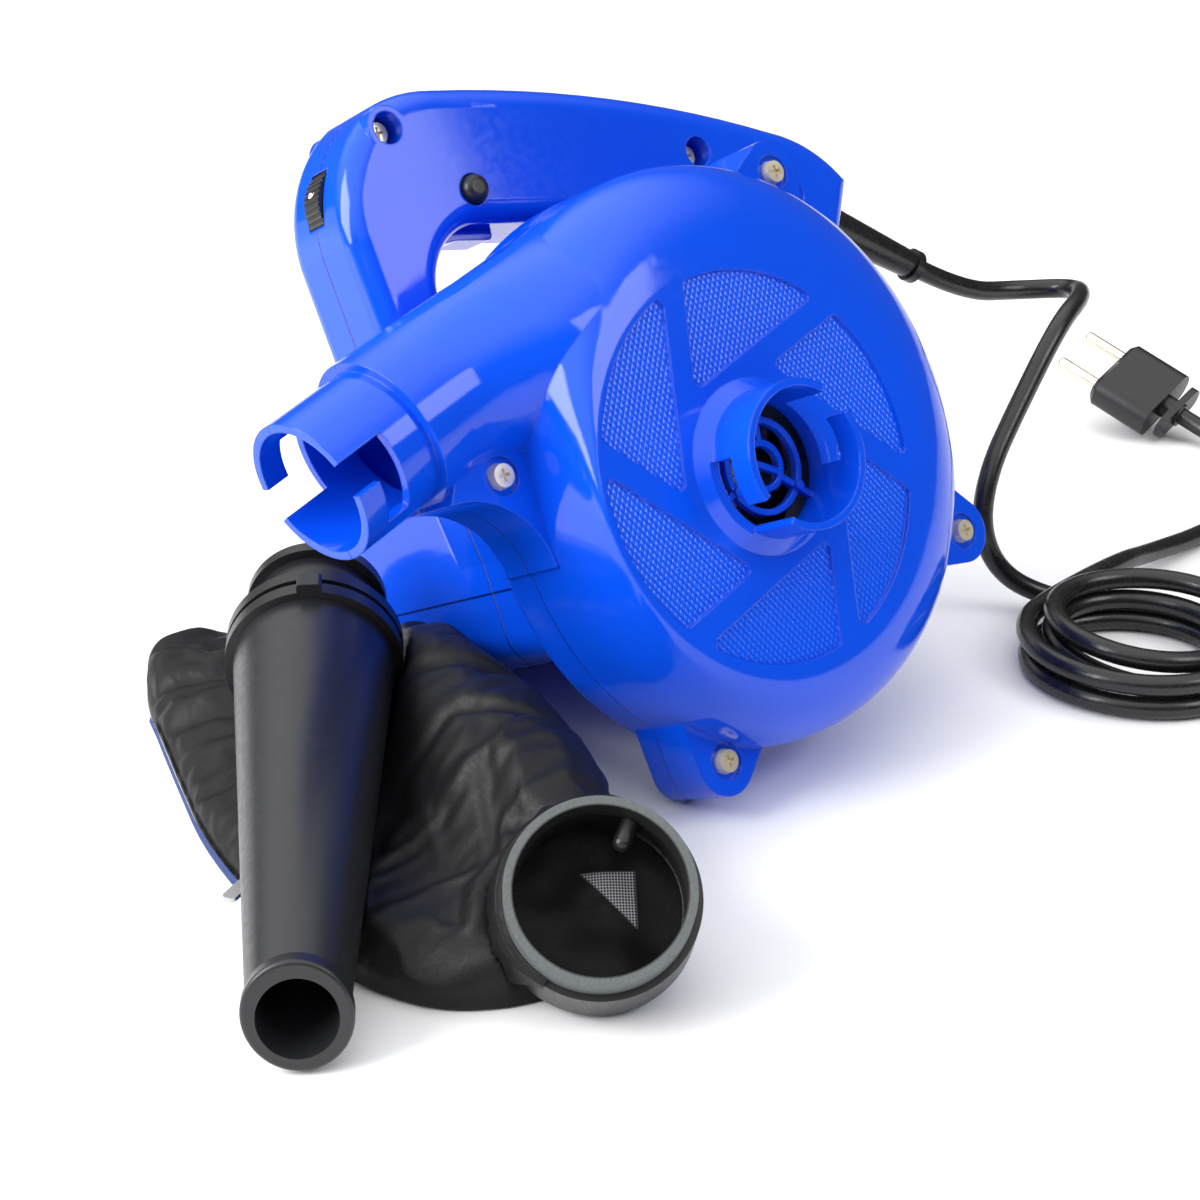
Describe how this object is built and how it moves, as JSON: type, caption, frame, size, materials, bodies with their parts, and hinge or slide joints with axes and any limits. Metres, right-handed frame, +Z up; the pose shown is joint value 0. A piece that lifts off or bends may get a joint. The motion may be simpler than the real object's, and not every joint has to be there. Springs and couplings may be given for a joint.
{
  "type": "leaf blower",
  "caption": "Small corded electric leaf blower with a round drum case, hand loop, bayonet intake and outlet, loose rubber nozzle and cloth dust bag.",
  "frame": {"origin": "centre of the footprint of the tool, nozzle and bag, on the floor", "axes": "+Z up, -Y towards the intake face, +X to the right of someone facing the intake"},
  "size_m": [0.5307, 0.253, 0.1857],
  "materials": {
    "blue_shell": "glossy royal-blue moulded ABS",
    "black_plastic": "matte black moulded plastic",
    "black_rubber": "matte black rubber with a faint sheen",
    "cord_jacket": "satin black PVC cord jacket",
    "grey_rim": "rough grey moulded rim",
    "black_cloth": "thin black woven polyester, faint sheen",
    "zip_cloth": "navy woven zip tape",
    "zinc": "nickel-plated steel",
    "pin_metal": "nickel-plated brass pins",
    "steel": "ground steel",
    "lamination": "varnished steel laminations",
    "copper": "enamelled copper wire",
    "carbon": "pressed carbon",
    "fan_plastic": "black moulded nylon",
    "board_green": "solder-masked laminate"
  },
  "bodies": {
    "housing": {"front_cover": "blue_shell", "middle_housing": "blue_shell", "rear_housing": "blue_shell", "front_bearing": "steel", "rear_bearing": "steel", "field_core": "lamination", "field_coils": "copper", "brush_holders": "black_plastic", "carbon_brushes": "carbon", "brush_springs": "steel", "switch_body": "black_plastic", "dial_control": "black_plastic", "control_board": "board_green", "capacitor": "black_plastic", "case_screws": "zinc", "handle_screws": "zinc", "motor_screws": "zinc", "strain_relief": "cord_jacket", "inner_leads": "cord_jacket", "cord_upper": "cord_jacket", "cord_hank": "cord_jacket", "cord_tail": "cord_jacket", "plug_body": "black_plastic", "plug_pins": "pin_metal"},
    "rotor": {"motor_shaft": "steel", "impeller": "fan_plastic", "impeller_nut": "zinc", "armature_core": "lamination", "armature_windings": "copper", "commutator": "copper"},
    "trigger": {"trigger": "blue_shell"},
    "lock": {"lock_button": "black_plastic"},
    "dial": {"speed_dial": "black_plastic"},
    "bag": {"bag_cloth": "black_cloth", "bag_ring": "grey_rim", "bag_collar": "black_plastic", "zip_tape": "zip_cloth", "zip_pull": "zinc"},
    "nozzle": {"nozzle_rubber": "black_rubber", "nozzle_collar": "black_plastic"}
  },
  "joints": [
    {"name": "rotor_spin", "type": "hinge", "parent": "housing", "child": "rotor", "pos_m": [0.01313, 0.00786, 0.07042], "axis": [0, 0.8918, -0.4524], "continuous": true},
    {"name": "trigger_slide", "type": "slide", "parent": "housing", "child": "trigger", "axis": [0.1191, 0.4492, 0.8854], "range_m": [0, 0.003], "stiffness_N_per_m": 400, "springref_m": -0.004},
    {"name": "lock_slide", "type": "slide", "parent": "housing", "child": "lock", "axis": [0, 0.8918, -0.4524], "range_m": [0, 0.003], "stiffness_N_per_m": 400, "springref_m": -0.003},
    {"name": "dial_turn", "type": "hinge", "parent": "housing", "child": "dial", "pos_m": [-0.03927, 0.07124, 0.15555], "axis": [0, 0.8918, -0.4524], "range_deg": [-135, 135]},
    {"name": "bag_pull", "type": "slide", "parent": "housing", "child": "bag", "axis": [-1, 0, 0], "range_m": [0, 0.12]},
    {"name": "nozzle_pull", "type": "slide", "parent": "bag", "child": "nozzle", "axis": [-0.6005, -0.7906, 0.1201], "range_m": [0, 0.12]}
  ]
}
